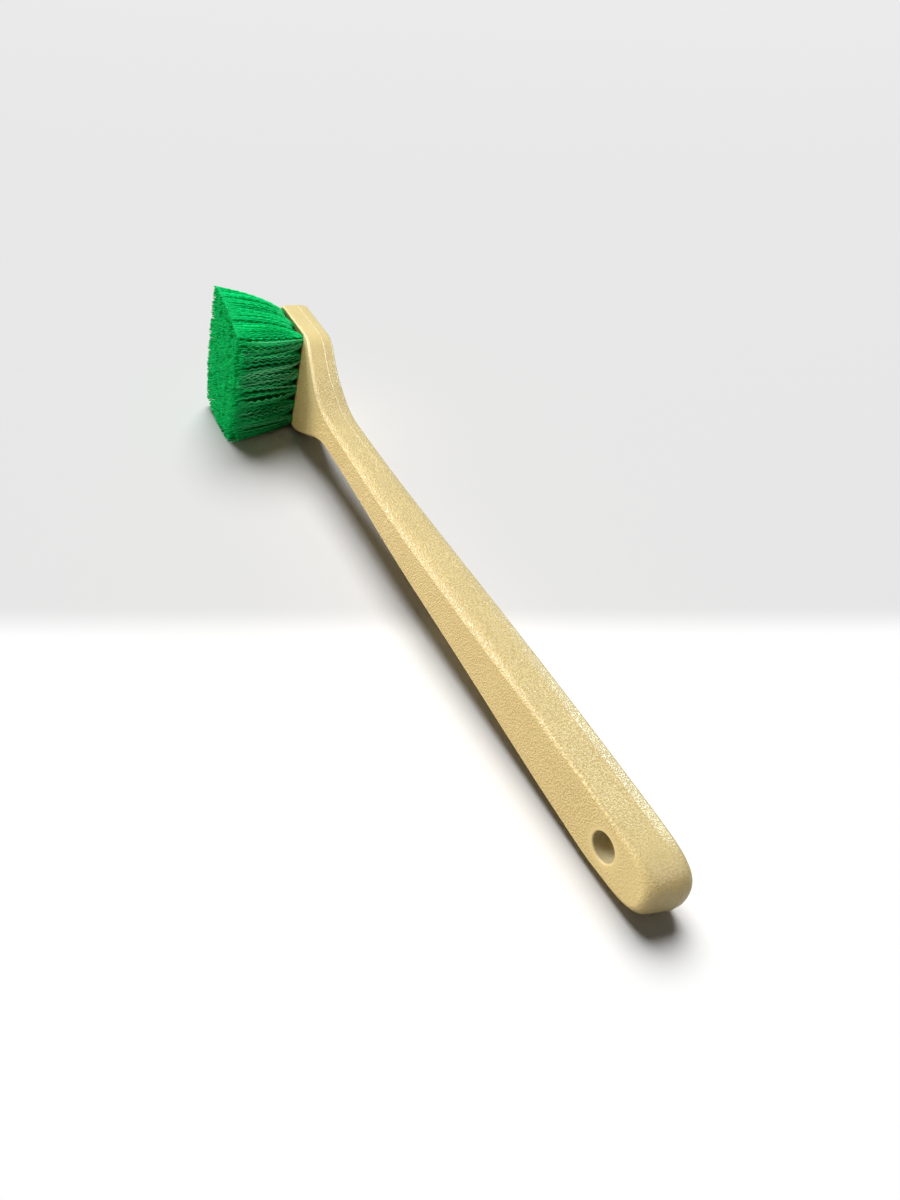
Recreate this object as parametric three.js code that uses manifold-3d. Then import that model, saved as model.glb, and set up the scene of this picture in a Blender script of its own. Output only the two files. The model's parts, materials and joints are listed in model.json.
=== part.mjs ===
// Long-handled wheel arch brush, lying on its side as it is put down on a table.
// One moulding makes the grip, neck, shoulders and block. Staggered rows of flared filament tufts
// are set in the block, each folded round a flat steel anchor at the bottom of its own angled hole.
// Millimetres. The brush is drawn with x along the handle from its tip to its toe, y out of the
// bristle face and z across the brush, and the finished group is then laid on the table, +Z up.
import * as THREE from 'three';
import { mergeVertices } from 'three/addons/utils/BufferGeometryUtils.js';
import Module from 'manifold-3d';

const wasm = await Module();
wasm.setup();
const { lerp, smoothstep } = THREE.MathUtils;

// Plan of the handle at its parting line
const handleLength = 516;
const tipRound = 27;
const tipFullness = 0.6;
const tipBluntness = 0.18;
const tipBlend = 54;
const gripHalfWidth = 18.7;
const gripSwell = 0.2;
const gripHoldX = 185;
const neckHoldX = 305;
const neckSwell = 0.3;
const neckEnd = 405;
const neckHalfWidth = 11.2;
const neckBlend = 15;
const blockStart = 461;
const blockHalfWidth = 40.4;
const heelBlend = 8;
const toeCorner = 7;

// Side view of the handle: heights of the front (bristle) side, the back and the parting line
const gripFront = 13.3;
const neckFront = 9.2;
const bristleFace = 2.6;
const gripBack = -13.4;
const waistBack = -12;
const neckBack = -13.1;
const blockBack = -17.1;
const gripParting = -5;
const blockParting = -9;

// Places along the side view: the fall of the front to the neck, the cove down to the bristle face,
// the waist of the back and its step out to the block
const frontFallStart = 245;
const frontFallEaseIn = 60;
const frontFallEaseOut = 62;
const coveStart = 417;
const coveBlend = 8;
const coveFirstDrop = 1.35;
const coveLastDrop = 0.7;
const faceStart = 468;
const faceBlend = 4;
const waistStart = 85;
const waistEnd = 305;
const waistEase = 80;
const neckBackEase = 40;
const shoulderStart = 425;
const backStepEaseIn = 20;
const backStepEaseOut = 17;

// Section of the handle: draft from the parting line to each edge, and the rounding of the edges
const draft = 0.8;
const handleEdge = 4;
const tipFrontEdge = 9;
const tipBackEdge = 5;
const blockEdge = 2.6;

// Hanging hole
const hangHoleX = 38.6;
const hangHoleRadius = 7.9;
const hangHoleLip = 1;
const hangHoleSides = 28;

// Tufts: five staggered rows along the block, six or five across it, spreading to the trim
const rowPitch = 9.8;
const columnPitch = 13.3;
const columnsInRow = [6, 5, 6, 5, 6];
const packCentreX = 489.2;
const tuftRadius = 3;
const tuftDepth = 10.6;
const trimLength = 52;
const toeTrimLength = 50;
const flare = 0.55;
const trimHalfLength = 34.5;
const trimHalfWidth = 47.2;
const toeBow = 3;
const heelBow = 1.5;
const sideBow = 1;
const cellGap = 0.4;
const rootSquareness = 2;
const cellSquareness = 5;
const cornerSquareness = 2.8;
const spreadSteps = [0.1, 0.35];
const holeOvershoot = 1.2;

// Flat steel anchor strips, and the clearance kept round every piece that is set in another
const anchorThickness = 0.8;
const anchorHeight = 2.2;
const anchorLength = 9.2;
const anchorDepth = 8.2;
const clearance = 0.3;

const tanPlastic = { color: 0xd8bb82, roughness: 0.55, metalness: 0 };
const greenFilament = { color: 0x0a9a4c, roughness: 0.5, metalness: 0 };
const anchorSteel = { color: 0xb9bcbf, roughness: 0.35, metalness: 1 };

// A closed skin through matching rings of points, with each end closed from side to side.
function loft(rings) {
  const count = rings[0].length;
  const triangles = [];
  for (let level = 0; level + 1 < rings.length; level++) {
    for (let i = 0; i < count; i++) {
      const here = level * count + i;
      const next = level * count + (i + 1) % count;
      triangles.push([here, next, next + count], [here, next + count, here + count]);
    }
  }
  const top = (rings.length - 1) * count;
  for (let i = 0; i <= count / 2 - 1; i++) {
    const [a, b, c, d] = [i, i + 1, count - i - 1, (count - i) % count];
    triangles.push([c, b, a], [d, c, a]);
    triangles.push([top + a, top + b, top + c], [top + a, top + c, top + d]);
  }
  const whole = triangles.filter(([a, b, c]) => a !== b && b !== c && c !== a);
  const geometry = new THREE.BufferGeometry();
  const position = rings.flat().flatMap((point) => point.toArray());
  geometry.setAttribute('position', new THREE.Float32BufferAttribute(position, 3));
  geometry.setIndex(whole.flat());
  return geometry;
}

// A solid for cutting, from a closed geometry whose shared corners are merged.
function solidOf(geometry) {
  const bare = geometry.clone();
  bare.deleteAttribute('normal');
  bare.deleteAttribute('uv');
  const merged = mergeVertices(bare);
  const corners = Array.from(merged.index.array);
  const triVerts = [];
  for (let i = 0; i < corners.length; i += 3) {
    const [a, b, c] = corners.slice(i, i + 3);
    if (a !== b && b !== c && c !== a) triVerts.push(a, b, c);
  }
  return new wasm.Manifold(new wasm.Mesh({
    numProp: 3,
    vertProperties: new Float32Array(merged.attributes.position.array),
    triVerts: new Uint32Array(triVerts),
  }));
}

// The geometry of a finished solid.
function geometryOf(solid) {
  const { vertProperties, triVerts } = solid.getMesh();
  const geometry = new THREE.BufferGeometry();
  geometry.setAttribute('position', new THREE.BufferAttribute(new Float32Array(vertProperties), 3));
  geometry.setIndex(new THREE.BufferAttribute(new Uint32Array(triVerts), 1));
  return geometry;
}

// A named piece with a finish of its own.
function piece(name, geometry, finish) {
  const mesh = new THREE.Mesh(geometry, new THREE.MeshStandardMaterial(finish));
  mesh.name = name;
  return mesh;
}

// Half of the plan at the parting line: tip, grip, neck, shoulder, block side and toe corner.
function planHalf() {
  const shoulder = new THREE.Vector2(blockStart - neckEnd, blockHalfWidth - neckHalfWidth).normalize();
  const neck = new THREE.Vector2(neckEnd, neckHalfWidth);
  const heel = new THREE.Vector2(blockStart, blockHalfWidth);
  const neckOut = neck.clone().addScaledVector(shoulder, neckBlend);
  const heelIn = heel.clone().addScaledVector(shoulder, -heelBlend);
  const gripHold = new THREE.Vector2(gripHoldX, gripHalfWidth + gripSwell);
  const neckHold = new THREE.Vector2(neckHoldX, neckHalfWidth + neckSwell);
  const tipSide = new THREE.Vector2(0, gripHalfWidth * tipFullness);
  const tipShoulder = new THREE.Vector2(tipRound * tipBluntness, gripHalfWidth);
  const toeIn = handleLength - toeCorner;
  const outline = new THREE.Path();
  outline.moveTo(0, 0);
  outline.bezierCurveTo(tipSide.x, tipSide.y, tipShoulder.x, tipShoulder.y, tipRound, gripHalfWidth);
  outline.bezierCurveTo(gripHold.x, gripHold.y, neckHold.x, neckHold.y, neckEnd - neckBlend, neckHalfWidth);
  outline.quadraticCurveTo(neck.x, neck.y, neckOut.x, neckOut.y);
  outline.lineTo(heelIn.x, heelIn.y);
  outline.quadraticCurveTo(heel.x, heel.y, heel.x + heelBlend, heel.y);
  outline.lineTo(toeIn, blockHalfWidth);
  outline.absarc(toeIn, blockHalfWidth - toeCorner, toeCorner, Math.PI / 2, 0, true);
  const steps = [8, 22, 6, 7, 3, 4, 5];
  const samePlace = 0.01;
  const points = outline.curves.flatMap((curve, k) => curve.getPoints(steps[k]));
  return points.filter((point, i) => i === 0 || point.distanceTo(points[i - 1]) > samePlace);
}

// Height of a side-view profile at a place along the handle.
function heightOn(profile) {
  const stepsPerCurve = 16;
  const points = profile.getPoints(stepsPerCurve);
  return (x) => {
    const after = points.findIndex((point, i) => i > 0 && point.x >= x);
    const end = points[after < 0 ? points.length - 1 : after];
    const start = points[after < 0 ? points.length - 2 : after - 1];
    return lerp(start.y, end.y, Math.max(0, Math.min(1, (x - start.x) / (end.x - start.x))));
  };
}

// Front of the handle: flat along the grip, falling to the neck, then coving down to the bristle face.
function frontProfile() {
  const fallIn = frontFallStart + frontFallEaseIn;
  const fallOut = coveStart - frontFallEaseOut;
  const coveTop = neckFront - coveFirstDrop;
  const coveFoot = bristleFace + coveLastDrop;
  const cove = new THREE.Path();
  cove.moveTo(0, gripFront);
  cove.lineTo(frontFallStart, gripFront);
  cove.bezierCurveTo(fallIn, gripFront, fallOut, neckFront, coveStart, neckFront);
  cove.quadraticCurveTo(coveStart + coveBlend, neckFront, coveStart + 2 * coveBlend, coveTop);
  cove.lineTo(faceStart - 2 * faceBlend, coveFoot);
  cove.quadraticCurveTo(faceStart - faceBlend, bristleFace, faceStart, bristleFace);
  cove.lineTo(handleLength, bristleFace);
  return cove;
}

// Back of the handle: flat behind the hanging hole, a slight waist, then stepping out to the block.
function backProfile() {
  const [waistIn, waistOut] = [waistStart + waistEase, waistEnd - waistEase];
  const [neckIn, neckOut] = [waistEnd + neckBackEase, neckEnd - neckBackEase];
  const [stepIn, stepOut] = [shoulderStart + backStepEaseIn, faceStart - backStepEaseOut];
  const back = new THREE.Path();
  back.moveTo(0, gripBack);
  back.lineTo(waistStart, gripBack);
  back.bezierCurveTo(waistIn, gripBack, waistOut, waistBack, waistEnd, waistBack);
  back.bezierCurveTo(neckIn, waistBack, neckOut, neckBack, neckEnd, neckBack);
  back.lineTo(shoulderStart, neckBack);
  back.bezierCurveTo(stepIn, neckBack, stepOut, blockBack, faceStart, blockBack);
  back.lineTo(handleLength, blockBack);
  return back;
}

// Outer skin of the moulding: the plan drawn in ring by ring from the parting line, with drafted
// walls and rounded edges, up to the front on one side and down to the back on the other.
function handleSkin() {
  const half = planHalf();
  const front = heightOn(frontProfile());
  const back = heightOn(backProfile());
  const blockShare = (x) => smoothstep(x, shoulderStart, faceStart);
  const parting = (x) => lerp(gripParting, blockParting, blockShare(x));
  const tipShare = (x) => 1 - smoothstep(x, 0, tipBlend);
  const edgeTo = (tipEdge) => (x) => lerp(lerp(handleEdge, blockEdge, blockShare(x)), tipEdge, tipShare(x));
  const mirror = (point) => new THREE.Vector2(point.x, -point.y);
  const outward = half.map((point, i) => {
    const before = i > 0 ? half[i - 1] : mirror(half[1]);
    const after = i + 1 < half.length ? half[i + 1] : mirror(point);
    const along = point.clone().sub(before).normalize().add(after.clone().sub(point).normalize());
    return new THREE.Vector2(-along.y, along.x).normalize();
  });
  const ring = (inset, height) => {
    const upper = half.map((point, i) => {
      const drawnIn = point.clone().addScaledVector(outward[i], -inset(point.x));
      return new THREE.Vector3(drawnIn.x, height(drawnIn.x), drawnIn.y);
    });
    const lower = upper.slice(1).reverse().map((p) => new THREE.Vector3(p.x, p.y, -p.z));
    return [...upper, ...lower];
  };
  const turns = [0, Math.PI / 6, Math.PI / 3, Math.PI / 2];
  const rounded = (side, edge, sign) => turns.map((turn) => ring(
    (x) => draft + edge(x) * (1 - Math.cos(turn)),
    (x) => side(x) - sign * edge(x) * (1 - Math.sin(turn)),
  ));
  const backRings = rounded(back, edgeTo(tipBackEdge), -1).reverse();
  return loft([...backRings, ring(() => 0, parting), ...rounded(front, edgeTo(tipFrontEdge), 1)]);
}

// Cutter for the hanging hole, with a lip eased at both faces.
function hangHoleCutter() {
  const reach = 20;
  const wide = hangHoleRadius + hangHoleLip;
  const outline = [
    [0, -reach],
    [wide, -reach],
    [wide, gripBack],
    [hangHoleRadius, gripBack + hangHoleLip],
    [hangHoleRadius, gripFront - hangHoleLip],
    [wide, gripFront],
    [wide, reach],
    [0, reach],
  ];
  const points = outline.map(([radius, height]) => new THREE.Vector2(radius, height));
  return solidOf(new THREE.LatheGeometry(points, hangHoleSides).translate(hangHoleX, 0, 0));
}

// Every tuft's name, its root on the bristle face and its cell in the trimmed face of the pack.
function tuftPlan() {
  const rowDepth = 2 * trimHalfLength / columnsInRow.length;
  return columnsInRow.flatMap((columns, row) => Array.from({ length: columns }, (_, column) => {
    const across = column - (columns - 1) / 2;
    const cellWidth = 2 * trimHalfWidth / columns;
    const fall = 1 - (across * cellWidth / trimHalfWidth) ** 2;
    const heelSide = row === 0 ? heelBow * fall : 0;
    const toeSide = row === columnsInRow.length - 1 ? toeBow * fall : 0;
    const outer = Math.abs(across) === (columns - 1) / 2 ? sideBow : 0;
    const rowPlace = row - (columnsInRow.length - 1) / 2;
    const atCorner = outer > 0 && (row === 0 || row === columnsInRow.length - 1);
    return {
      name: `r${row + 1}c${column + 1}`,
      root: new THREE.Vector2(packCentreX + rowPlace * rowPitch, across * columnPitch),
      cell: new THREE.Vector2(
        packCentreX + rowPlace * rowDepth + (toeSide - heelSide) / 2,
        across * cellWidth + Math.sign(across) * outer / 2,
      ),
      halfLength: (rowDepth + heelSide + toeSide - cellGap) / 2,
      halfWidth: (cellWidth + outer - cellGap) / 2,
      squareness: atCorner ? cornerSquareness : cellSquareness,
    };
  }));
}

// How far a tuft has spread towards its cell at a height above the bristle face. The filaments
// splay as they leave the hole and then straighten. Below the face the hole runs on in line.
function spread(height) {
  const share = height / trimLength;
  return share > 0 ? share ** flare : share;
}

// A place on a tuft's centre line, at a height above the bristle face.
function onTuft(tuft, height) {
  const place = tuft.root.clone().lerp(tuft.cell, spread(height));
  return new THREE.Vector3(place.x, bristleFace + height, place.y);
}

// One ring round a tuft: a circle in its hole, softening into its cell of the pack, which is
// trimmed a little shorter towards the toe.
function tuftRing(tuft, height, radius) {
  const sides = 16;
  const centre = onTuft(tuft, height);
  const share = Math.max(0, spread(height));
  const squareness = lerp(rootSquareness, tuft.squareness, share);
  const bulge = (value) => Math.sign(value) * Math.abs(value) ** (2 / squareness);
  return Array.from({ length: sides }, (_, i) => {
    const turn = 2 * Math.PI * i / sides;
    const x = centre.x + lerp(radius, tuft.halfLength, share) * bulge(Math.sin(turn));
    const z = centre.z + lerp(radius, tuft.halfWidth, share) * bulge(Math.cos(turn));
    const toToe = (x - packCentreX + trimHalfLength) / (2 * trimHalfLength);
    const fall = toToe * (trimLength - toeTrimLength) * Math.max(0, height / trimLength);
    return new THREE.Vector3(x, centre.y - fall, z);
  });
}

// The anchor strip of a tuft, or the slot it needs when room is left round it.
function anchorStrip(tuft, room) {
  const size = [anchorThickness, anchorHeight, anchorLength].map((length) => length + 2 * room);
  const axis = onTuft(tuft, 0).sub(onTuft(tuft, -anchorDepth)).normalize();
  const lean = new THREE.Quaternion().setFromUnitVectors(new THREE.Vector3(0, 1, 0), axis);
  const place = onTuft(tuft, -anchorDepth);
  const matrix = new THREE.Matrix4().compose(place, lean, new THREE.Vector3(1, 1, 1));
  return new THREE.BoxGeometry(...size).applyMatrix4(matrix);
}

// A tuft: its folded root in the hole, then the filaments spreading out to its cell.
function tuftSolid(tuft) {
  const steps = spreadSteps.map((share) => share * trimLength);
  const heights = [-tuftDepth, 0, ...steps, trimLength];
  const body = loft(heights.map((height) => tuftRing(tuft, height, tuftRadius)));
  return solidOf(body).subtract(solidOf(anchorStrip(tuft, clearance)));
}

// The angled hole that a tuft is set in, with the bite of its anchor in the two sides.
function tuftHole(tuft) {
  const depth = tuftDepth + clearance;
  const lean = onTuft(tuft, -depth).sub(onTuft(tuft, 0));
  const floor = tuftRing(tuft, -depth, tuftRadius + clearance);
  const mouth = floor.map((point) => point.clone().addScaledVector(lean, -holeOvershoot));
  return solidOf(loft([floor, mouth])).add(solidOf(anchorStrip(tuft, clearance)));
}

// Lays the brush down: the table touches the lowest points of the grip, the block and the pack.
function layDown(brush) {
  const cornersOf = (mesh) => {
    const position = mesh.geometry.attributes.position;
    return Array.from({ length: position.count }, (_, i) => new THREE.Vector3().fromBufferAttribute(position, i));
  };
  const [handle, ...rest] = brush.children;
  const skin = cornersOf(handle);
  const grip = skin.filter((point) => point.x < handleLength / 2);
  const block = skin.filter((point) => point.x > handleLength / 2);
  const pack = rest.flatMap(cornersOf);
  const lowest = (points, up) => points.reduce((low, point) => (point.dot(up) < low.dot(up) ? point : low));
  const settlings = 8;
  let up = new THREE.Vector3(0, 0, 1);
  for (let settling = 0; settling < settlings; settling++) {
    const [tip, heel, trim] = [grip, block, pack].map((points) => lowest(points, up));
    up = trim.clone().sub(tip).cross(heel.clone().sub(tip)).normalize();
    if (up.z < 0) up.negate();
  }
  const along = new THREE.Vector3(1, 0, 0).projectOnPlane(up).normalize();
  const across = up.clone().cross(along);
  brush.quaternion.setFromRotationMatrix(new THREE.Matrix4().makeBasis(along, across, up).transpose());
  const box = new THREE.Box3().setFromObject(brush, true);
  const centre = box.getCenter(new THREE.Vector3());
  brush.position.set(-centre.x, -centre.y, -box.min.z);
}

const tufts = tuftPlan();
const brush = new THREE.Group();

let moulding = solidOf(handleSkin()).subtract(hangHoleCutter());
for (const tuft of tufts) moulding = moulding.subtract(tuftHole(tuft));
brush.add(piece('handle', geometryOf(moulding), tanPlastic));

for (const tuft of tufts) {
  brush.add(piece(`tuft_${tuft.name}`, geometryOf(tuftSolid(tuft)), greenFilament));
  brush.add(piece(`anchor_${tuft.name}`, anchorStrip(tuft, 0), anchorSteel));
}

layDown(brush);

export default brush;
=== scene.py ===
import json
import math
import random

import bmesh
import bpy
from mathutils import Matrix, Vector


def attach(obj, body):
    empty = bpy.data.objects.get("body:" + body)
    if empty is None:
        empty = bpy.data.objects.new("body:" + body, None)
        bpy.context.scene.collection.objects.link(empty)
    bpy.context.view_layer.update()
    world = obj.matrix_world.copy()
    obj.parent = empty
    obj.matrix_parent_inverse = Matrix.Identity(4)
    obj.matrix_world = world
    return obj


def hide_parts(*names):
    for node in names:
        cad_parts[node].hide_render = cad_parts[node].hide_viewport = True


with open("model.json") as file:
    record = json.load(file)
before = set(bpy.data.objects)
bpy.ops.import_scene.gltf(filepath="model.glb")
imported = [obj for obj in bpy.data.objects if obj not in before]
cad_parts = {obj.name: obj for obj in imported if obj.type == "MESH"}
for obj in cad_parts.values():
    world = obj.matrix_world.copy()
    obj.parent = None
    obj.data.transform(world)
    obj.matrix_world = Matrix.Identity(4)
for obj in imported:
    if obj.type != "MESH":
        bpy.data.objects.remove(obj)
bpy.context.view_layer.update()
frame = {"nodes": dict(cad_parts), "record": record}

# How the brush lies
# A long-handled brush put down on its side. It is drawn in millimetres with x along the handle
# from the tip to the toe, y out of the bristle face and z across, and then laid on the table.
millimetre = 0.001
grip_rest_x = 66.0
grip_back = -13.4

mounts = {mount["name"]: mount for mount in frame["record"]["mounts"]}
face_out = -Vector(mounts["block_back"]["axis"]).normalized()
grip_rest = Vector(mounts["grip_back"]["pos_m"])
block_rest = Vector(mounts["block_back"]["pos_m"])
handle_run = block_rest - grip_rest
handle_run = (handle_run - face_out * handle_run.dot(face_out)).normalized()
across = handle_run.cross(face_out)
axes = Matrix((handle_run, face_out, across)).transposed()
drawing_origin = grip_rest - axes @ Vector((grip_rest_x, grip_back, 0.0)) * millimetre
laid = Matrix.Translation(drawing_origin) @ axes.to_4x4() @ Matrix.Scale(millimetre, 4)

# Handle
# One moulding of tan structural-foam plastic: grip, neck, shoulders and brush block together.
# It comes out of a two-part mould, so a fine raised line runs round its sides where the halves
# met, and the mould leaves a leather-like grain that dies away at the tip, hole and block.
handle_length = 516.0
tip_round = 27.0
tip_fullness = 0.6
tip_bluntness = 0.18
grip_half_width = 18.7
grip_swell = 0.2
grip_hold_x = 185.0
neck_hold_x = 305.0
neck_swell = 0.3
neck_end = 405.0
neck_half_width = 11.2
neck_blend = 15.0
block_start = 461.0
block_half_width = 40.4
heel_blend = 8.0
toe_corner = 7.0
toe_hold = 0.45 * toe_corner

# Heights of the front, the back and the parting line, and the places where they change.
grip_front = 13.3
neck_front = 9.2
bristle_face = 2.6
front_fall_start = 245.0
front_fall_ease_in = 60.0
front_fall_ease_out = 62.0
cove_start = 417.0
cove_blend = 8.0
cove_first_drop = 1.35
cove_last_drop = 0.7
face_start = 468.0
face_blend = 4.0
waist_back = -12.0
neck_back = -13.1
block_back = -17.1
waist_start = 85.0
waist_end = 305.0
waist_ease = 80.0
neck_back_ease = 40.0
shoulder_start = 425.0
back_step_ease_in = 20.0
back_step_ease_out = 17.0
grip_parting = -5.0
block_parting = -9.0

# Points along each stretch of the plan, the front line and the back line.
tip_steps = 26
grip_steps = 66
neck_steps = 14
shoulder_steps = 12
heel_steps = 10
block_side_steps = 9
toe_steps = 10
front_fall_steps = 40
cove_steps = 10
ramp_steps = 6
face_steps = 8
waist_steps = 30
neck_back_steps = 24
neck_flat_steps = 2
back_step_steps = 24


def curve(controls, steps):
    """Points along a Bezier curve through its control points, the first left out."""
    points = []
    for step in range(1, steps + 1):
        row = [Vector(control) for control in controls]
        while len(row) > 1:
            row = [a.lerp(b, step / steps) for a, b in zip(row, row[1:])]
        points.append(row[0])
    return points


def on_line(points, x):
    """Height of a line of points at a place along the handle."""
    after = 1
    while after < len(points) - 1 and points[after][0] < x:
        after += 1
    start = points[after - 1]
    end = points[after]
    share = (x - start[0]) / (end[0] - start[0])
    return start[1] + (end[1] - start[1]) * max(0.0, min(1.0, share))


def eased(x, start, end):
    """Share from 0 to 1 that eases in and out between two places."""
    share = max(0.0, min(1.0, (x - start) / (end - start)))
    return share * share * (3.0 - 2.0 * share)


shoulder = Vector((block_start - neck_end, block_half_width - neck_half_width)).normalized()
neck_corner = Vector((neck_end, neck_half_width))
neck_in = Vector((neck_end - neck_blend, neck_half_width))
neck_out = neck_corner + shoulder * neck_blend
heel_corner = Vector((block_start, block_half_width))
heel_in = heel_corner - shoulder * heel_blend
heel_out = Vector((block_start + heel_blend, block_half_width))
toe_in = Vector((handle_length - toe_corner, block_half_width))
toe_out = Vector((handle_length, block_half_width - toe_corner))

plan = [Vector((0.0, 0.0))]
plan += curve([(0.0, 0.0), (0.0, tip_fullness * grip_half_width),
               (tip_bluntness * tip_round, grip_half_width),
               (tip_round, grip_half_width)], tip_steps)
plan += curve([(tip_round, grip_half_width), (grip_hold_x, grip_half_width + grip_swell),
               (neck_hold_x, neck_half_width + neck_swell), neck_in], grip_steps)
plan += curve([neck_in, neck_corner, neck_out], neck_steps)
plan += curve([neck_out, heel_in], shoulder_steps)
plan += curve([heel_in, heel_corner, heel_out], heel_steps)
plan += curve([heel_out, toe_in], block_side_steps)
plan += curve([toe_in, (handle_length - toe_hold, block_half_width),
               (handle_length, block_half_width - toe_hold), toe_out], toe_steps)

cove_top = Vector((cove_start + 2 * cove_blend, neck_front - cove_first_drop))
cove_foot = Vector((face_start - 2 * face_blend, bristle_face + cove_last_drop))
front_line = [Vector((0.0, grip_front)), Vector((front_fall_start, grip_front))]
front_line += curve([(front_fall_start, grip_front),
                     (front_fall_start + front_fall_ease_in, grip_front),
                     (cove_start - front_fall_ease_out, neck_front),
                     (cove_start, neck_front)], front_fall_steps)
front_line += curve([(cove_start, neck_front), (cove_start + cove_blend, neck_front), cove_top],
                    cove_steps)
front_line += curve([cove_top, cove_foot], ramp_steps)
front_line += curve([cove_foot, (face_start - face_blend, bristle_face),
                     (face_start, bristle_face)], face_steps)
front_line += [Vector((handle_length, bristle_face))]

back_line = [Vector((0.0, grip_back)), Vector((waist_start, grip_back))]
back_line += curve([(waist_start, grip_back), (waist_start + waist_ease, grip_back),
                    (waist_end - waist_ease, waist_back), (waist_end, waist_back)], waist_steps)
back_line += curve([(waist_end, waist_back), (waist_end + neck_back_ease, waist_back),
                    (neck_end - neck_back_ease, neck_back), (neck_end, neck_back)],
                   neck_back_steps)
back_line += curve([(neck_end, neck_back), (shoulder_start, neck_back)], neck_flat_steps)
back_line += curve([(shoulder_start, neck_back), (shoulder_start + back_step_ease_in, neck_back),
                    (face_start - back_step_ease_out, block_back), (face_start, block_back)],
                   back_step_steps)
back_line += [Vector((handle_length, block_back))]

# Along the handle: the rounding of the front and back edges, how far each wall leans in, how far
# round the edges turn before they meet the faces, and how far the parting line stands out.
front_edge = [(0, 7.5), (12, 5.6), (45, 2.0), (90, 2.8), (130, 5.0), (190, 10.5), (320, 10.0),
              (380, 5.6), (440, 3.2), (516, 2.2)]
back_edge = [(0, 5.6), (12, 5.2), (50, 3.2), (120, 3.6), (400, 3.4), (460, 2.6), (516, 2.2)]
front_lean = [(0, 0.2), (12, 0.17), (44, 0.06), (420, 0.05), (516, 0.04)]
back_lean = [(0, 0.03), (12, 0.04), (50, 0.2), (120, 0.16), (400, 0.12), (460, 0.08), (516, 0.06)]
front_turn = [(0, 80), (12, 78), (40, 76), (100, 68), (190, 52), (330, 52), (400, 62), (440, 66),
              (516, 78)]
back_turn = [(0, 88), (12, 86), (40, 66), (420, 66), (516, 78)]
flash_size = [(0, 0.02), (30, 0.08), (90, 0.14), (330, 0.16), (420, 0.2), (516, 0.18)]
flash_half_width = 0.35
edge_steps = 8
edge_support = 0.5
wall_support = 0.04

outward = []
for i, point in enumerate(plan):
    before = plan[i - 1] if i > 0 else Vector((plan[1].x, -plan[1].y))
    after = plan[i + 1] if i + 1 < len(plan) else Vector((point.x, -point.y))
    run = (point - before).normalized() + (after - point).normalized()
    outward.append(Vector((-run.y, run.x)).normalized())


def parting_at(x):
    """Height of the parting line."""
    return grip_parting + (block_parting - grip_parting) * eased(x, shoulder_start, face_start)


def handle_ring(inset, height):
    """One ring of the handle, the plan drawn in by an inset and lifted to a height."""
    upper = []
    for point, normal in zip(plan, outward):
        drawn_in = point - normal * inset(point.x)
        upper.append(Vector((drawn_in.x, height(point.x, drawn_in.x), drawn_in.y)))
    lower = [Vector((p.x, p.y, -p.z)) for p in reversed(upper[1:])]
    return upper + lower


def half_rings(line, edge, lean, turn_to, side):
    """Rings of one mould half, from beside the parting line to the support inside its edge."""
    def corner(x, turn_share):
        start = math.atan(on_line(lean, x))
        last = math.radians(on_line(turn_to, x))
        turn = start + (last - start) * turn_share
        radius = on_line(edge, x)
        wall_height = abs(on_line(line, x) - parting_at(x))
        wall_top = wall_height - radius * (math.sin(last) - math.sin(start))
        drawn_in = on_line(lean, x) * wall_top + radius * (math.cos(start) - math.cos(turn))
        return drawn_in, radius * (math.sin(last) - math.sin(turn))

    rings = [handle_ring(lambda x: 0.0, lambda x, at: parting_at(x) + side * flash_half_width)]
    rings.append(handle_ring(
        lambda x: on_line(lean, x) * edge_support,
        lambda x, at: parting_at(x) + side * (flash_half_width + edge_support)))
    rings.append(handle_ring(
        lambda x: corner(x, 0.0)[0] * (1 - wall_support),
        lambda x, at: ((on_line(line, at) - side * corner(x, 0.0)[1]) * (1 - wall_support)
                       + wall_support * parting_at(x))))
    for step in range(edge_steps + 1):
        rings.append(handle_ring(
            lambda x: corner(x, step / edge_steps)[0],
            lambda x, at: on_line(line, at) - side * corner(x, step / edge_steps)[1]))
    rings.append(handle_ring(
        lambda x: corner(x, 1.0)[0] + edge_support,
        lambda x, at: on_line(line, at)))
    return rings


def stacked(name, rings):
    """A skin drawn out ring by ring from a circle, its two ends left open."""
    bpy.ops.object.select_all(action='DESELECT')
    bpy.ops.mesh.primitive_circle_add(vertices=len(rings[0]), radius=1.0)
    skin = bpy.context.object
    skin.name = name
    for vertex, place in zip(skin.data.vertices, rings[0]):
        vertex.co = place
    bpy.ops.object.mode_set(mode='EDIT')
    bpy.ops.mesh.select_all(action='SELECT')
    for ring in rings[1:]:
        bpy.ops.mesh.extrude_region_move()
        drawn = bmesh.from_edit_mesh(skin.data)
        drawn.verts.ensure_lookup_table()
        newest = [v for v in drawn.verts if v.select]
        for vertex in newest:
            below = next(e.other_vert(vertex) for e in vertex.link_edges
                         if not e.other_vert(vertex).select)
            vertex.co = ring[below.index % len(ring)]
        drawn.verts.index_update()
        bmesh.update_edit_mesh(skin.data)
    bpy.ops.object.mode_set(mode='OBJECT')
    return skin


flash_ring = handle_ring(lambda x: -on_line(flash_size, x), lambda x, at: parting_at(x))
handle_rings = list(reversed(half_rings(back_line, back_edge, back_lean, back_turn, -1)))
handle_rings += [flash_ring]
handle_rings += half_rings(front_line, front_edge, front_lean, front_turn, 1)
handle = stacked("moulded_handle", handle_rings)

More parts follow.
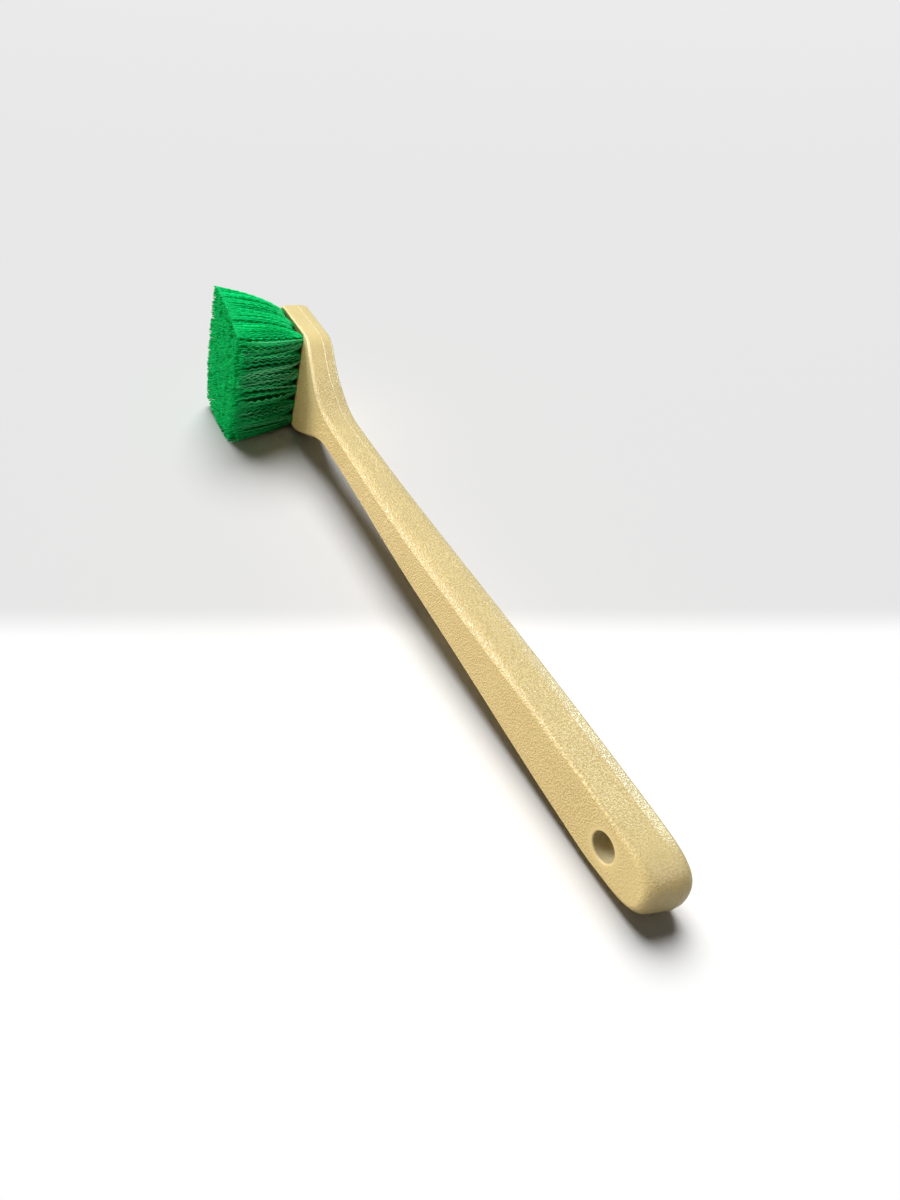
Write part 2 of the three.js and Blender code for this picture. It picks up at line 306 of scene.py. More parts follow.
# Both open ends are closed from side to side, and the closing strips are cut across into a grid.
cuts_across = 11
same_place = 0.001
off_centre = 0.01
ring_size = len(handle_rings[0])
half_size = len(plan)
bpy.ops.object.mode_set(mode='EDIT')
bpy.ops.mesh.select_mode(type='EDGE')
for first in (0, ring_size * (len(handle_rings) - 1)):
    drawn = bmesh.from_edit_mesh(handle.data)
    drawn.verts.ensure_lookup_table()
    bpy.ops.mesh.select_all(action='DESELECT')
    upper_side = [drawn.verts[first + i] for i in range(1, half_size)]
    lower_side = [drawn.verts[first + ring_size - i] for i in range(1, half_size)]
    for rim in (upper_side, lower_side):
        for a, b in zip(rim, rim[1:]):
            drawn.edges.get((a, b)).select_set(True)
    bmesh.update_edit_mesh(handle.data)
    bpy.ops.mesh.bridge_edge_loops()
    drawn = bmesh.from_edit_mesh(handle.data)
    drawn.verts.ensure_lookup_table()
    bpy.ops.mesh.select_all(action='DESELECT')
    for i in (0, 1, ring_size - 1):
        drawn.verts[first + i].select_set(True)
    drawn.select_flush(True)
    bmesh.update_edit_mesh(handle.data)
    bpy.ops.mesh.edge_face_add()
bpy.ops.mesh.select_all(action='DESELECT')
drawn = bmesh.from_edit_mesh(handle.data)
for edge in drawn.edges:
    a, b = (v.co for v in edge.verts)
    side_to_side = abs(a.x - b.x) < same_place and abs(a.z + b.z) < same_place
    edge.select_set(side_to_side and abs(a.z) > off_centre)
bmesh.update_edit_mesh(handle.data)
bpy.ops.mesh.subdivide(number_cuts=cuts_across)
bpy.ops.mesh.select_all(action='SELECT')
bpy.ops.mesh.normals_make_consistent(inside=False)
bpy.ops.object.mode_set(mode='OBJECT')

# The front of the grip sinks a little between its two edges, as a thick moulding does on cooling.
grip_sink = 0.12
sink_margin = 6.0
sink_starts = (14.0, 40.0)
sink_ends = (150.0, 300.0)
on_surface = 0.01
for vertex in handle.data.vertices:
    x, y, z = vertex.co
    on_front = abs(y - on_line(front_line, x)) < on_surface
    reach = max(1.0, on_line(plan, x) - sink_margin)
    if on_front and abs(z) < reach:
        along_grip = eased(x, *sink_starts) * (1 - eased(x, *sink_ends))
        vertex.co.y = y - grip_sink * along_grip * (1 - (z / reach) ** 2) ** 2


def cut_from(piece, cutter):
    """Cuts one shape out of a piece and throws the cutter away."""
    cut = piece.modifiers.new("cut", 'BOOLEAN')
    cut.object = cutter
    cut.solver = 'EXACT'
    bpy.ops.object.select_all(action='DESELECT')
    bpy.context.view_layer.objects.active = piece
    bpy.ops.object.modifier_apply(modifier=cut.name)
    bpy.data.objects.remove(cutter)


# The hanging hole goes right through the grip, with a rounded lip at both faces.
hang_hole_x = 38.6
hang_hole_radius = 7.9
hang_hole_lip = 1.1
hole_overshoot = 3.0
hole_sides = 64
lip_steps = 6
lip_foot = grip_front - grip_sink
hole_line = [(grip_back - hole_overshoot, hang_hole_radius + hang_hole_lip)]
for step in range(lip_steps + 1):
    turn = math.pi / 2 * step / lip_steps
    hole_line.append((grip_back + hang_hole_lip * (1 - math.cos(turn)),
                      hang_hole_radius + hang_hole_lip * (1 - math.sin(turn))))
for step in range(lip_steps + 1):
    turn = math.pi / 2 * (1 - step / lip_steps)
    hole_line.append((lip_foot - hang_hole_lip * (1 - math.cos(turn)),
                      hang_hole_radius + hang_hole_lip * (1 - math.sin(turn))))
hole_line.append((grip_front + hole_overshoot, hang_hole_radius + hang_hole_lip))
hole_rings = []
for height, radius in hole_line:
    hole_rings.append([
        Vector((hang_hole_x + radius * math.cos(2 * math.pi * i / hole_sides), height,
                radius * math.sin(2 * math.pi * i / hole_sides)))
        for i in range(hole_sides)])
hang_hole = stacked("hang_hole", hole_rings)
bpy.ops.object.mode_set(mode='EDIT')
bpy.ops.mesh.select_all(action='SELECT')
bpy.ops.mesh.select_non_manifold()
bpy.ops.mesh.edge_face_add()
bpy.ops.mesh.select_all(action='SELECT')
bpy.ops.mesh.normals_make_consistent(inside=False)
bpy.ops.object.mode_set(mode='OBJECT')
cut_from(handle, hang_hole)

# Staggered rows of angled blind holes take the tufts. Each leans out as its tuft does.
row_pitch = 9.8
column_pitch = 13.3
columns_in_row = [6, 5, 6, 5, 6]
pack_centre_x = 489.2
tuft_radius = 3.0
tuft_hole_room = 0.3
tuft_hole_depth = 10.9
drill_sides = 20
drill_overshoot = 2.0
trim_length = 52.0
toe_trim_length = 50.0
trim_centre_x = 491.6
trim_half_length = 33.0
trim_upper = 47.5
trim_upper_flare = 7.5
trim_lower = 49.5
trim_lower_flare = -1.5
trim_corner = 0.16
trim_toe_bow = 2.0


def trim_place(s, t):
    """A place on the trimmed face of the pack, from shares of its length and width."""
    along_pack = s * math.sqrt(1 - trim_corner * t * t)
    across_pack = t * math.sqrt(1 - trim_corner * s * s)
    half_width = trim_upper + trim_upper_flare * along_pack
    if across_pack < 0:
        half_width = trim_lower + trim_lower_flare * along_pack
    half_length = trim_half_length + trim_toe_bow * max(0.0, s) * (1 - t * t)
    return Vector((trim_centre_x + half_length * along_pack, across_pack * half_width))


rows = len(columns_in_row)
tufts = []
for row, columns in enumerate(columns_in_row):
    for column in range(columns):
        row_place = row - (rows - 1) / 2
        aside = column - (columns - 1) / 2
        s = 2 * row_place / rows
        t = 2 * aside / columns
        tufts.append({
            "name": f"r{row + 1}c{column + 1}",
            "root": Vector((pack_centre_x + row_place * row_pitch, aside * column_pitch)),
            "cell": trim_place(s, t),
            "share": Vector((s, t)),
            "half": Vector((1 / rows, 1 / columns)),
            "short_row": columns < max(columns_in_row),
        })

bpy.ops.object.select_all(action='DESELECT')
drills = []
for tuft in tufts:
    lean = (tuft["cell"] - tuft["root"]) / trim_length
    bore = Vector((lean.x, 1.0, lean.y)).normalized()
    mouth = Vector((tuft["root"].x, bristle_face, tuft["root"].y))
    bpy.ops.mesh.primitive_cylinder_add(
        vertices=drill_sides, radius=tuft_radius + tuft_hole_room,
        depth=tuft_hole_depth + drill_overshoot,
        location=mouth - bore * (tuft_hole_depth / 2 - drill_overshoot / 2),
        rotation=bore.to_track_quat('Z', 'Y').to_euler())
    drills.append(bpy.context.object)
for drill in drills:
    drill.select_set(True)
bpy.ops.object.join()
bpy.ops.object.transform_apply(location=True, rotation=True, scale=True)
cut_from(handle, bpy.context.object)

handle.data.transform(laid)
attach(handle, "root")
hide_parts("handle")


def start_finish(name):
    """Starts a material, which takes the nodes that are made after it."""
    global nodes, links
    finish = bpy.data.materials.new(name)
    finish.use_nodes = True
    nodes = finish.node_tree.nodes
    links = finish.node_tree.links
    return finish, nodes["Principled BSDF"]


def node(kind, **settings):
    """A node of the material being made, with its settings."""
    made = nodes.new(kind)
    for key, value in settings.items():
        setattr(made, key, value)
    return made


def feed(socket, value):
    """Joins a socket to another, or sets it to a plain value."""
    if isinstance(value, bpy.types.NodeSocket):
        links.new(value, socket)
    else:
        socket.default_value = value


def math_of(operation, *values):
    """A maths node on sockets or numbers."""
    made = node("ShaderNodeMath", operation=operation)
    for socket, value in zip(made.inputs, values):
        feed(socket, value)
    return made.outputs[0]


def ramp_of(value, start, end, at_start, at_end):
    """Eases from one strength to another while a value goes from its start to its end."""
    made = node("ShaderNodeMapRange", interpolation_type='SMOOTHSTEP')
    for socket, given in zip(made.inputs, (value, start, end, at_start, at_end)):
        feed(socket, given)
    return made.outputs[0]


def mix_of(share, first, second):
    """A blend of two colours."""
    made = node("ShaderNodeMix", data_type='RGBA')
    feed(made.inputs[0], share)
    feed(made.inputs[6], first)
    feed(made.inputs[7], second)
    return made.outputs[2]


# Tan resin with a grain, laid out in the drawing's own millimetres. Each fade gives where it
# starts and ends, then its strength at both.
resin_deep = (0.74, 0.582, 0.266, 1.0)
resin_pale = (0.78, 0.618, 0.286, 1.0)
groove_brown = (0.46, 0.32, 0.13, 1.0)
grain_per_mm = 0.9
grain_depth = 0.00017
groove_strength = 0.6
cloud_per_mm = 0.035
pebble_fade = (0.33, 0.67, 0.0, 1.0)
cloud_fade = (0.3, 0.7, 0.0, 1.0)
hole_fade = (hang_hole_radius + 1.0, hang_hole_radius + 5.0, 0.2, 1.0)
tip_fade = (0.0, 70.0, 0.45, 1.0)
block_fade = (400.0, 470.0, 1.0, 0.25)
deeper_fade = (90.0, 330.0, 1.0, 1.8)
roughness_fade = (0.0, 1.0, 0.36, 0.25)
smooth_angle = 17

tan, shader = start_finish("tan_moulding")
shader.inputs["IOR"].default_value = 1.5
drawing_map = node("ShaderNodeMapping", vector_type='TEXTURE')
feed(drawing_map.inputs["Vector"], node("ShaderNodeTexCoord").outputs["Object"])
drawing_map.inputs["Location"].default_value = drawing_origin
drawing_map.inputs["Rotation"].default_value = axes.to_euler()
drawing_map.inputs["Scale"].default_value = (millimetre, millimetre, millimetre)
drawing = drawing_map.outputs[0]
drawing_parts = node("ShaderNodeSeparateXYZ")
feed(drawing_parts.inputs[0], drawing)
x_mm, y_mm, z_mm = drawing_parts.outputs

wrinkle = node("ShaderNodeTexNoise")
feed(wrinkle.inputs["Vector"], drawing)
wrinkle.inputs["Scale"].default_value = grain_per_mm
wrinkle.inputs["Detail"].default_value = 1.0
wrinkle.inputs["Roughness"].default_value = 0.4
pebble = ramp_of(wrinkle.outputs["Fac"], *pebble_fade)
from_hole = math_of('SQRT', math_of(
    'ADD', math_of('POWER', math_of('SUBTRACT', x_mm, hang_hole_x), 2.0),
    math_of('POWER', z_mm, 2.0)))
clear_of_hole = ramp_of(from_hole, *hole_fade)
clear_of_ends = math_of('MULTIPLY', ramp_of(x_mm, *tip_fade), ramp_of(x_mm, *block_fade))
depth = math_of('MULTIPLY', clear_of_hole, clear_of_ends)
deeper = ramp_of(x_mm, *deeper_fade)
grain = math_of('MULTIPLY', pebble, math_of('MULTIPLY', depth, deeper))
bump = node("ShaderNodeBump")
bump.inputs["Strength"].default_value = 1.0
bump.inputs["Distance"].default_value = grain_depth
feed(bump.inputs["Height"], grain)
feed(shader.inputs["Normal"], bump.outputs[0])
feed(shader.inputs["Roughness"], ramp_of(pebble, *roughness_fade))

cloud = node("ShaderNodeTexNoise")
feed(cloud.inputs["Vector"], drawing)
cloud.inputs["Scale"].default_value = cloud_per_mm
cloud.inputs["Detail"].default_value = 3.0
resin = mix_of(ramp_of(cloud.outputs["Fac"], *cloud_fade), resin_deep, resin_pale)
groove = math_of('MULTIPLY', math_of('SUBTRACT', 1.0, pebble),
                 math_of('MULTIPLY', depth, groove_strength))
grained = mix_of(groove, resin, groove_brown)

# The raised line where the mould halves met is painted pale as a highlight, the face between the
# tufts is painted with their green shade, and the hole's wall is painted darker grey-brown as
# shade.
highlight_tan = (0.92, 0.80, 0.50, 1.0)
tuft_shade = (0.14, 0.16, 0.05, 1.0)
hole_shade_brown = (0.33, 0.29, 0.19, 1.0)
parting_fade = (shoulder_start, face_start, grip_parting, block_parting)
line_edge_fade = (0.25, 0.7, 1.0, 0.0)
line_along_fade = (300.0, 400.0, 0.0, 0.4)
face_fade = (bristle_face - 0.3, bristle_face - 0.05, 0.0, 1.0)
pack_fade = (block_start + 5.0, block_start + 8.0, 0.0, 1.0)
hole_shade_fade = (hang_hole_radius + 0.1, hang_hole_radius + 0.6, 0.7, 0.0)
# Painted highlight: pale along the raised parting line, fading in along the neck.
off_line = math_of('ABSOLUTE', math_of('SUBTRACT', y_mm, ramp_of(x_mm, *parting_fade)))
on_parting = math_of('MULTIPLY', ramp_of(off_line, *line_edge_fade),
                     ramp_of(x_mm, *line_along_fade))
lined = mix_of(on_parting, grained, highlight_tan)
# Painted shade: the bristle face between the tufts is coloured their green shade.
between_tufts = math_of('MULTIPLY', ramp_of(y_mm, *face_fade), ramp_of(x_mm, *pack_fade))
shaded = mix_of(between_tufts, lined, tuft_shade)
# Painted shade: the wall of the hanging hole is coloured darker grey-brown.
in_hole = ramp_of(from_hole, *hole_shade_fade)
feed(shader.inputs["Base Color"], mix_of(in_hole, shaded, hole_shade_brown))
handle.data.materials.clear()
handle.data.materials.append(tan)
bpy.ops.object.select_all(action='DESELECT')
handle.select_set(True)
bpy.context.view_layer.objects.active = handle
bpy.ops.object.shade_smooth_by_angle(angle=math.radians(smooth_angle))

# Anchors
# A flat strip of drawn steel wire for each tuft. It lies in the fold of the filaments at the
# bottom of the hole and bites into the hole's two sides. Its shape is the frame's own.
anchor_grey = (0.56, 0.57, 0.58, 1.0)
marks_per_metre = 900.0
marks_fade = (0.2, 0.8, 0.25, 0.45)
steel, shader = start_finish("anchor_steel")
shader.inputs["Metallic"].default_value = 1.0
shader.inputs["Base Color"].default_value = anchor_grey
drawn_marks = node("ShaderNodeTexNoise")
drawn_marks.inputs["Scale"].default_value = marks_per_metre
feed(drawn_marks.inputs["Vector"], node("ShaderNodeTexCoord").outputs["Object"])
feed(shader.inputs["Roughness"], ramp_of(drawn_marks.outputs["Fac"], *marks_fade))
for tuft in tufts:
    anchor = frame["nodes"]["anchor_" + tuft["name"]]
    anchor.data.materials.clear()
    anchor.data.materials.append(steel)

# Tufts
# Bundles of crimped green plastic filament, each folded in half round its anchor and stapled into
# its hole. They splay as they leave the block and are cut off level across the pack.
filament_dark = (0.001, 0.17, 0.042, 1.0)
filament_bright = (0.003, 0.87, 0.235, 1.0)
# Cut ends are rougher, and painted a darker green as the shade of the trimmed face.
cut_shaded_dark = (0.001, 0.33, 0.08, 1.0)
cut_shaded_bright = (0.001, 0.5, 0.125, 1.0)
# The pale green is a painted highlight for the heel's filaments.
highlight_pale_green = (0.22, 0.78, 0.44, 1.0)
filament_roughness_fade = (0.0, 1.0, 0.35, 0.8)
green, shader = start_finish("green_filament")
shader.inputs["Specular IOR Level"].default_value = 0.1
tone_and_shade_here = node("ShaderNodeAttribute", attribute_name="tone_and_shade").outputs["Fac"]
pale_highlight_here = node("ShaderNodeAttribute", attribute_name="pale_highlight").outputs["Fac"]
frayed_and_shaded_here = node("ShaderNodeAttribute", attribute_name="frayed_and_shaded").outputs["Fac"]
# Random tone mixed with painted shade, from the dark green to the bright.
filament = mix_of(tone_and_shade_here, filament_dark, filament_bright)
# Painted shade: cut ends coloured a darker green.
shaded_cut_end = mix_of(tone_and_shade_here, cut_shaded_dark, cut_shaded_bright)
# Painted highlight: pale green mixed in on the heel's filaments.
highlighted = mix_of(pale_highlight_here, filament, highlight_pale_green)
feed(shader.inputs["Base Color"], mix_of(frayed_and_shaded_here, highlighted, shaded_cut_end))
feed(shader.inputs["Roughness"], ramp_of(frayed_and_shaded_here, *filament_roughness_fade))

# One straight filament, drawn out joint by joint from a three-sided end. Every filament of the
# pack is a bent copy of it.
strand_sides = 3
strand_joints = 18
strand_radius = 0.28
frayed_and_shaded_joints = 2.5
bpy.ops.object.select_all(action='DESELECT')
bpy.ops.mesh.primitive_circle_add(vertices=strand_sides, radius=strand_radius, fill_type='NGON')
strand = bpy.context.object
strand.name = "strand"
bpy.ops.object.mode_set(mode='EDIT')
bpy.ops.mesh.select_all(action='SELECT')
for _ in range(strand_joints):
    bpy.ops.mesh.extrude_region_move(TRANSFORM_OT_translate={"value": (0.0, 0.0, 1.0)})
bpy.ops.mesh.select_all(action='SELECT')
bpy.ops.mesh.normals_make_consistent(inside=False)
bpy.ops.object.mode_set(mode='OBJECT')
strand_rims = [(round(v.co.z), v.co.x, v.co.y) for v in strand.data.vertices]
strand_faces = [tuple(face.vertices) for face in strand.data.polygons]
strand_frayed_and_shaded = [max(0.0, 1 - (strand_joints - joint) / frayed_and_shaded_joints)
                 for joint, _, _ in strand_rims]
bpy.data.objects.remove(strand)

# Filaments are crimped in locks that stay together up to the trim, most of all at the heel, and
# those at a side of the pack wave along it. The short rows of tufts fan out sooner.
locks_across = 5
strands_in_lock = 5
lock_jitter = 0.12
lock_drift = 0.9
lock_pull = 0.5
heel_lock_pull = 0.95
lock_release = 6
strand_foot = -6.4
root_fill = 0.92
flare = 0.9
short_row_flare = 0.3
splay = 0.42
short_row_splay = 0.3
mingle = 1.5
crimp = 0.75
lock_crimp = (0.5, 1.35)
strand_crimp = (0.85, 1.15)
swing_scatter = 0.1
side_power = 4
slip_scatter = 0.08
crimp_rise = 7
crimp_loss = 0.6
crimp_loss_start = 0.85

# The trim is a little uneven, rubbed at its edges and worn short at the heel. Pale highlights are
# painted on the heel's filaments, more on its upper part. Outer filaments are painted bright and
# those inside dark as painted shade, and painted shade darkens the heel to its roots and its foot.
trim_scatter = 0.35
edge_band = 0.9
edge_wear = 1.3
heel_band = -0.85
heel_wear = 11.0
strand_wear = (0.8, 1.0)
wear_and_highlight_rarity = 1.5
base_tone = 0.45
lock_tone = 0.35
strand_tone = 0.2
heel_skin = (0.5, 2.8)
side_skin = (9.0, 22.0)
toe_skin = (0.7, 0.9)
heel_corner_band = (0.92, 1.0)
heel_corner_ease = 0.5
heel_rise = (-0.9, 0.1)
least_highlight = 0.3
heel_foot_shade = 0.4
root_shade = 0.6
root_shade_band = (2.0, 34.0)
lit_band = (38.0, 49.0)
chance = random.Random(4)


def spread_at(tuft, height):
    """How far a tuft has leant out towards its cell at a height above the bristle face."""
    share = height / trim_length
    bend = short_row_flare if tuft["short_row"] else flare
    return share ** bend if share > 0 else share


def strand_end(tuft, place):
    """Where a filament ends, measured from the middle of its cell, and its shares of the pack."""
    share = tuft["share"] + Vector((place.x * tuft["half"].x, place.y * tuft["half"].y)) * mingle
    share = Vector((max(-1.0, min(1.0, share.x)), max(-1.0, min(1.0, share.y))))
    return trim_place(share.x, share.y) - tuft["cell"], share


def new_lock(place):
    """A lock of filaments that were crimped together and stay together."""
    jitter_x = chance.uniform(-lock_jitter, lock_jitter)
    jitter_y = chance.uniform(-lock_jitter, lock_jitter)
    return {
        "place": place + Vector((jitter_x, jitter_y)),
        "drift": Vector((chance.gauss(0, lock_drift), chance.gauss(0, lock_drift))),
        "swing": chance.uniform(0, 2 * math.pi),
        "phase": chance.random(),
        "size": chance.uniform(*lock_crimp),
        "tone_and_shade": chance.random(),
        "wear": chance.random() ** wear_and_highlight_rarity,
        "pale_highlight": chance.random() ** wear_and_highlight_rarity,
    }


def spot_in_lock(lock):
    """A filament's place by its lock, drawn again while it falls outside the tuft's cell."""
    while True:
        off_lock = Vector((chance.uniform(-1, 1), chance.uniform(-1, 1))) / locks_across
        spot = lock["place"] + off_lock
        if abs(spot.x) <= 1 and abs(spot.y) <= 1:
            return spot


def strand_path(tuft, lock):
    """The joints of one filament from its fold to its cut end, their tones with painted shade, and
    its painted highlight.
    """
    spot = spot_in_lock(lock)
    root = Vector((spot.x * math.sqrt(1 - spot.y ** 2 / 2),
                   spot.y * math.sqrt(1 - spot.x ** 2 / 2)))
    root = root * tuft_radius * root_fill
    end, share = strand_end(tuft, spot)
    lock_end, lock_share = strand_end(tuft, lock["place"])

    top = trim_length + chance.gauss(0.0, trim_scatter)
    if share.x < heel_band:
        top -= heel_wear * lock["wear"] * chance.uniform(*strand_wear)
    elif max(share.x, abs(share.y)) > edge_band:
        top -= edge_wear * chance.random() ** 2
    size = crimp * lock["size"] * chance.uniform(*strand_crimp)
    swing = lock["swing"] + chance.gauss(0.0, swing_scatter)
    side = Vector((math.cos(swing) * (1 - share.x ** side_power),
                   math.sin(swing) * (1 - share.y ** side_power))).normalized()
    slip = chance.uniform(-slip_scatter, slip_scatter)

    # Painted shade: outer filaments at the heel, sides and toe count as lit, and inner ones are
    # painted dark.
    in_from_heel = (1 + lock_share.x) * trim_half_length
    in_from_side = (1 - abs(lock_share.y)) * trim_upper
    outer = max(1 - eased(in_from_heel, *heel_skin), 1 - eased(in_from_side, *side_skin))
    outer = max(outer, eased(share.x, *toe_skin))
    at_heel = 1 - eased(in_from_heel, *heel_skin)
    at_heel = at_heel * (1 - heel_corner_ease * eased(lock_share.y, *heel_corner_band))
    up_heel = eased(lock_share.y, *heel_rise)
    # Painted highlight: pale on the heel's locks, more up the heel.
    pale_highlight = lock["pale_highlight"] * at_heel * (least_highlight + (1 - least_highlight) * up_heel)
    # Random tone, with painted shade darkening the heel's lower part.
    tone_and_shade = base_tone + lock_tone * lock["tone_and_shade"] + strand_tone * chance.random()
    tone_and_shade = tone_and_shade * (1 - heel_foot_shade * at_heel * (1 - up_heel))
    pull = lock_pull + (heel_lock_pull - lock_pull) * at_heel
    fan = short_row_splay if tuft["short_row"] else splay

    joints = []
    tones_and_shades = []
    for joint in range(strand_joints + 1):
        along = joint / strand_joints
        if 0 < joint < strand_joints:
            along += (lock["phase"] - 0.5 + slip) / strand_joints
        height = strand_foot + (top - strand_foot) * along
        above = max(0.0, min(1.0, height / trim_length))
        held = end.lerp(lock_end, pull * (1 - above ** lock_release))
        flat = tuft["root"].lerp(tuft["cell"], spread_at(tuft, height))
        flat = flat + root.lerp(held, above ** fan)
        flat = flat + lock["drift"] * math.sin(math.pi * above)
        turn = 1 if joint % 2 else -1
        rise = min(1.0, above * crimp_rise)
        fade = 1 - crimp_loss * eased(above, crimp_loss_start, 1.0)
        flat = flat + side * size * turn * rise * fade
        to_toe = (flat.x - pack_centre_x + trim_half_length) / (2 * trim_half_length)
        fall = to_toe * (trim_length - toe_trim_length) * above
        joints.append(Vector((flat.x, bristle_face + height - fall, flat.y)))
        # Painted shade: darker below the lit band near the trim unless outer, and at the heel
        # towards its roots.
        lit = max(outer, eased(height, *lit_band))
        off_root = eased(height, *root_shade_band)
        tones_and_shades.append(tone_and_shade * lit * (1 - root_shade * at_heel * (1 - off_root)))
    return joints, tones_and_shades, pale_highlight


# Loose filaments lie between the locks, more of them along the upper side and the toe, and a few
# stray ones at the heel. A share is from -1 to 1 over the pack, or over a tuft's own cell.
loose_strands = 50
rim_strands = 60
stray_strands = 7
heel_row = -0.7
toe_row = 0.7
upper_tufts = 0.6
whole_cell = -1.0
cell_off_heel = -0.2
cell_rim = 0.5
cell_toe = 0.4
cell_heel = -0.95
table_gap = 0.0002


def loose_locks(count, least_x, least_y):
    """Single filaments over a tuft's cell, from the least shares of it up to its far corner."""
    singles = []
    for _ in range(count):
        place = Vector((chance.uniform(least_x, 1), chance.uniform(least_y, 1)))
        singles.append((new_lock(place), 1))
    return singles


for tuft in tufts:
    bunches = []
    for i in range(locks_across ** 2):
        place = Vector((i % locks_across + 0.5, i // locks_across + 0.5)) * 2 / locks_across
        bunches.append((new_lock(place - Vector((1.0, 1.0))), strands_in_lock))
    at_heel_row = tuft["share"].x < heel_row
    least_x = cell_off_heel if at_heel_row else whole_cell
    bunches += loose_locks(loose_strands, least_x, whole_cell)
    if at_heel_row:
        for _ in range(stray_strands):
            place = Vector((cell_heel, chance.uniform(-1, 1)))
            bunches.append((new_lock(place), 1))
    if tuft["share"].y > upper_tufts:
        bunches += loose_locks(rim_strands, least_x, cell_rim)
    if tuft["share"].x > toe_row:
        bunches += loose_locks(rim_strands, cell_toe, whole_cell)

    corners = []
    faces = []
    tones_and_shades = []
    pale_highlights = []
    frayed_and_shaded = []
    for lock, strands in bunches:
        for _ in range(strands):
            joints, shades, pale_highlight = strand_path(tuft, lock)
            first = len(corners)
            for joint, dx, dy in strand_rims:
                corner = laid @ (joints[joint] + Vector((dx, 0.0, dy)))
                corner.z = max(corner.z, table_gap)
                corners.append(corner)
                tones_and_shades.append(shades[joint])
                pale_highlights.append(pale_highlight)
            faces += [tuple(first + corner for corner in face) for face in strand_faces]
            frayed_and_shaded += strand_frayed_and_shaded
    mesh = bpy.data.meshes.new("filaments_" + tuft["name"])
    mesh.from_pydata(corners, [], faces)
    for name, values in (("tone_and_shade", tones_and_shades), ("pale_highlight", pale_highlights), ("frayed_and_shaded", frayed_and_shaded)):
        mesh.attributes.new(name, 'FLOAT', 'POINT').data.foreach_set("value", values)
    mesh.shade_smooth()
    mesh.materials.append(green)
    bundle = bpy.data.objects.new("filaments_" + tuft["name"], mesh)
    bpy.context.scene.collection.objects.link(bundle)
    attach(bundle, "root")
    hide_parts("tuft_" + tuft["name"])

# Table
# A plain pale board that the brush lies on, painted white in front and pale grey behind. It gives
# less light back to the brush than it shows to the camera.
table_size = 12.0
table_far = (0.76, 0.76, 0.76, 1.0)
table_near = (0.97, 0.97, 0.97, 1.0)
table_bounce = (0.5, 0.5, 0.5, 1.0)
paint_fade = (-0.044, -0.010, 0.0, 1.0)
paint_turn = -0.3854
bpy.ops.object.select_all(action='DESELECT')
bpy.ops.mesh.primitive_plane_add(size=table_size)
table = bpy.context.object
table.name = "table"
paint, shader = start_finish("table_paint")
shader.inputs["Roughness"].default_value = 0.95
shader.inputs["Specular IOR Level"].default_value = 0.05
turned_place = node("ShaderNodeMapping", vector_type='TEXTURE')
feed(turned_place.inputs["Vector"], node("ShaderNodeTexCoord").outputs["Object"])
turned_place.inputs["Rotation"].default_value = (0.0, 0.0, paint_turn)
turned_parts = node("ShaderNodeSeparateXYZ")
feed(turned_parts.inputs[0], turned_place.outputs[0])
seen_paint = mix_of(ramp_of(turned_parts.outputs[0], *paint_fade), table_near, table_far)
to_camera = node("ShaderNodeLightPath").outputs["Is Camera Ray"]
feed(shader.inputs["Base Color"], mix_of(to_camera, table_bounce, seen_paint))
table.data.materials.append(paint)

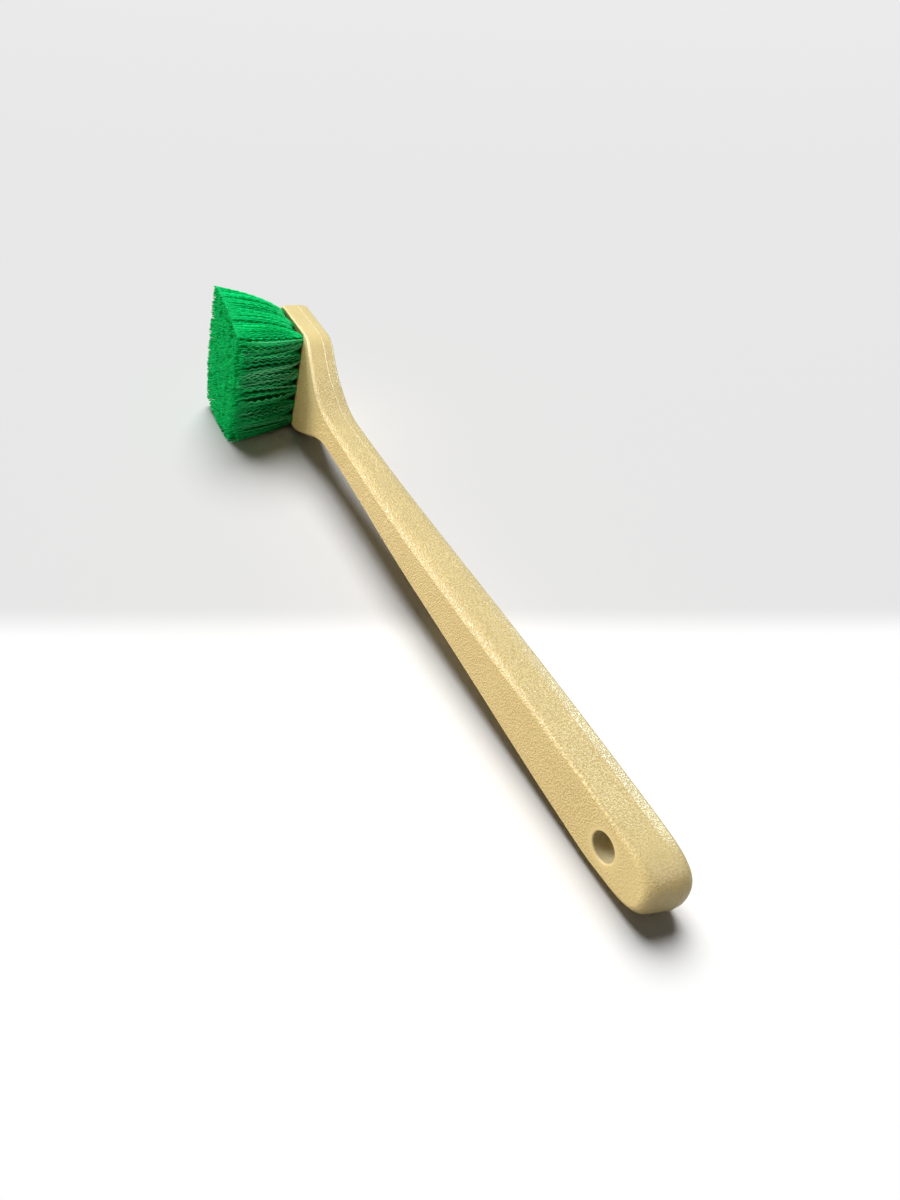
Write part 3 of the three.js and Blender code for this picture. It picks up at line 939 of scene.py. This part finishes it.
# Light
# Six soft lamps on the brush, above it, beyond its two ends, before and behind it, and one on the
# table. Each is aimed at a place along the handle. The room itself gives only a little light.
white = (1.0, 1.0, 1.0)
room_light = 0.045
room_seen = 0.8
room_in_gloss = 0.35
brush_only = bpy.data.collections.new("brush_only")
brush_only.objects.link(table)
brush_only.collection_objects[0].light_linking.link_state = 'EXCLUDE'
table_only = bpy.data.collections.new("table_only")
table_only.objects.link(table)
for name, aim_x, towards, distance, width, strength, tint, lights in (
        ("top_lamp", 420.0, (0.0, 0.2, 1.0), 0.8, 0.55, 0.42, white, brush_only),
        ("tail_lamp", 300.0, (-0.5, -0.55, 0.67), 3.0, 2.0, 0.23, white, brush_only),
        ("head_lamp", 480.0, (0.72, 0.69, 0.08), 3.0, 0.8, 0.46, (1.0, 0.80, 0.48), brush_only),
        ("front_lamp", 420.0, (-0.3, 0.72, 0.62), 0.8, 0.32, 0.27, (1.0, 0.82, 0.50), brush_only),
        ("ridge_lamp", 300.0, (0.59, 0.48, 0.65), 3.0, 1.4, 0.8, (0.90, 1.0, 1.12), brush_only),
        ("rim_lamp", 200.0, (0.344, -0.886, 0.329), 3.0, 1.0, 0.44, (0.88, 1.0, 0.98), brush_only),
        ("table_lamp", 300.0, (0.5, -0.16, 0.85), 60.0, 42.0, 1.32, white, table_only)):
    lamp = bpy.data.lights.new(name, 'AREA')
    lamp.shape = 'DISK'
    lamp.size = width
    lamp.color = tint
    lamp.energy = strength * (math.pi * distance) ** 2
    holder = bpy.data.objects.new(name, lamp)
    holder.location = laid @ Vector((aim_x, 0.0, 0.0)) + Vector(towards).normalized() * distance
    holder.rotation_euler = Vector(towards).to_track_quat('Z', 'Y').to_euler()
    holder.visible_camera = False
    holder.light_linking.receiver_collection = lights
    bpy.context.scene.collection.objects.link(holder)
room = bpy.data.worlds.new("room")
room.use_nodes = True
nodes = room.node_tree.nodes
links = room.node_tree.links
shader = nodes["Background"]
shader.inputs["Color"].default_value = white + (1.0,)
ray = node("ShaderNodeLightPath").outputs
seen = math_of('MAXIMUM', math_of('MAXIMUM', ray["Is Camera Ray"], ray["Is Transmission Ray"]),
               math_of('MULTIPLY', ray["Is Glossy Ray"], room_in_gloss))
feed(shader.inputs["Strength"], ramp_of(seen, 0.0, 1.0, room_light, room_seen))
bpy.context.scene.world = room
bpy.context.scene.view_settings.view_transform = 'Standard'

# Camera
# It looks down along the handle from beyond the tip, a little turned, as the brush was shown. Its
# place and directions are in the drawing's axes.
camera_at = (-106.8, 276.2, 356.8)
camera_ahead = (0.58406, -0.49361, -0.64439)
camera_above = (0.66476, -0.16468, 0.72867)
camera_place = laid @ Vector(camera_at)
camera_looks = (laid.to_3x3() @ Vector(camera_ahead)).normalized()
camera_up = (laid.to_3x3() @ Vector(camera_above)).normalized()
camera_right = camera_looks.cross(camera_up)
turned = Matrix((camera_right, camera_up, -camera_looks)).transposed()
lens = bpy.data.cameras.new("camera")
lens.sensor_fit = 'VERTICAL'
lens.sensor_height = 36.0
lens.lens = 27.53
camera = bpy.data.objects.new("camera", lens)
camera.matrix_world = Matrix.Translation(camera_place) @ turned.to_4x4()
bpy.context.scene.collection.objects.link(camera)
bpy.context.scene.camera = camera
